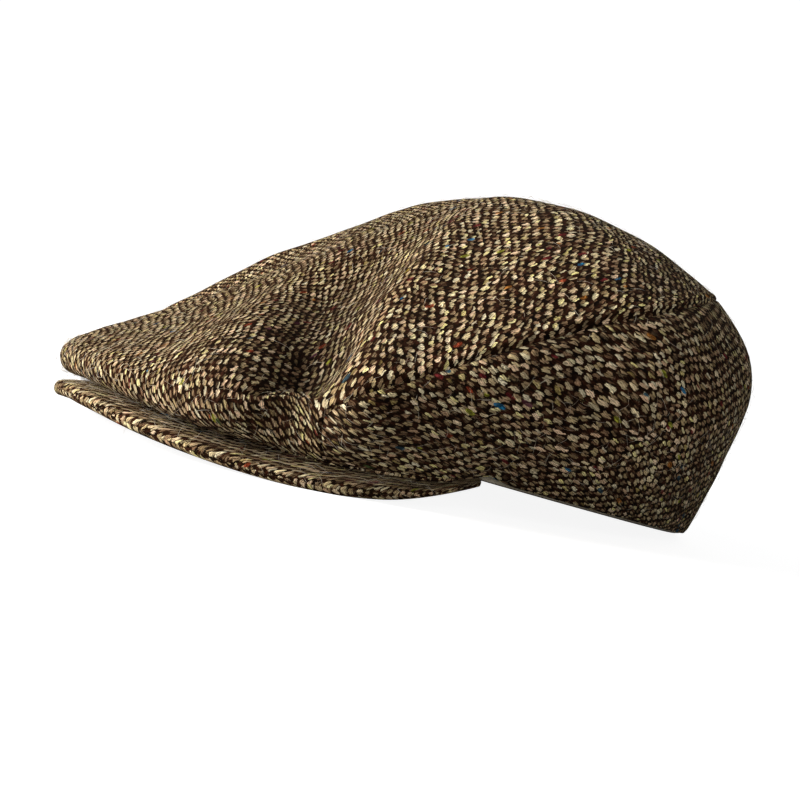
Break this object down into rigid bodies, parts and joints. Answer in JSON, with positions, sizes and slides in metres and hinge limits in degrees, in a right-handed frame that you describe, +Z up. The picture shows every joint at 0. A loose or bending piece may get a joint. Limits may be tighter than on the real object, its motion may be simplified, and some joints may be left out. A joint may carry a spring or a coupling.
{
  "type": "flat cap",
  "caption": "Tweed flat cap: soft crown leaning over a stiff peak, with lining, sweatband and a hidden snap that lets the peak swing down.",
  "frame": {"origin": "centre of the cap's footprint box on the surface it rests on", "axes": "the front of the cap faces -Y, the wearer's left is +X, +Z is up"},
  "size_m": [0.2098, 0.2595, 0.1132],
  "materials": {
    "tweed": "rough barleycorn tweed, flecked",
    "lining": "satin",
    "interlining": "matt woven",
    "cotton_tape": "matt twill",
    "sweatband": "satin leather",
    "label": "woven satin",
    "board": "matt moulded sheet",
    "snap_metal": "antique plated"
  },
  "bodies": {
    "crown": {"top_panel": "tweed", "left_side_panel": "tweed", "right_side_panel": "tweed", "crown_under_facing": "tweed", "front_interlining": "interlining", "lining_top": "lining", "lining_left": "lining", "lining_right": "lining", "headband_tape": "cotton_tape", "sweatband": "sweatband", "sweatband_back_tab": "sweatband", "size_label": "label", "maker_label": "label", "snap_socket": "snap_metal"},
    "peak": {"peak_board": "board", "peak_top_cover": "tweed", "peak_under_cover": "tweed", "snap_stud": "snap_metal"}
  },
  "joints": [
    {"name": "peak_hinge", "type": "hinge", "parent": "crown", "child": "peak", "pos_m": [0, -0.0125, 0.0101], "axis": [1, 0, 0], "range_deg": [0, 12]}
  ]
}
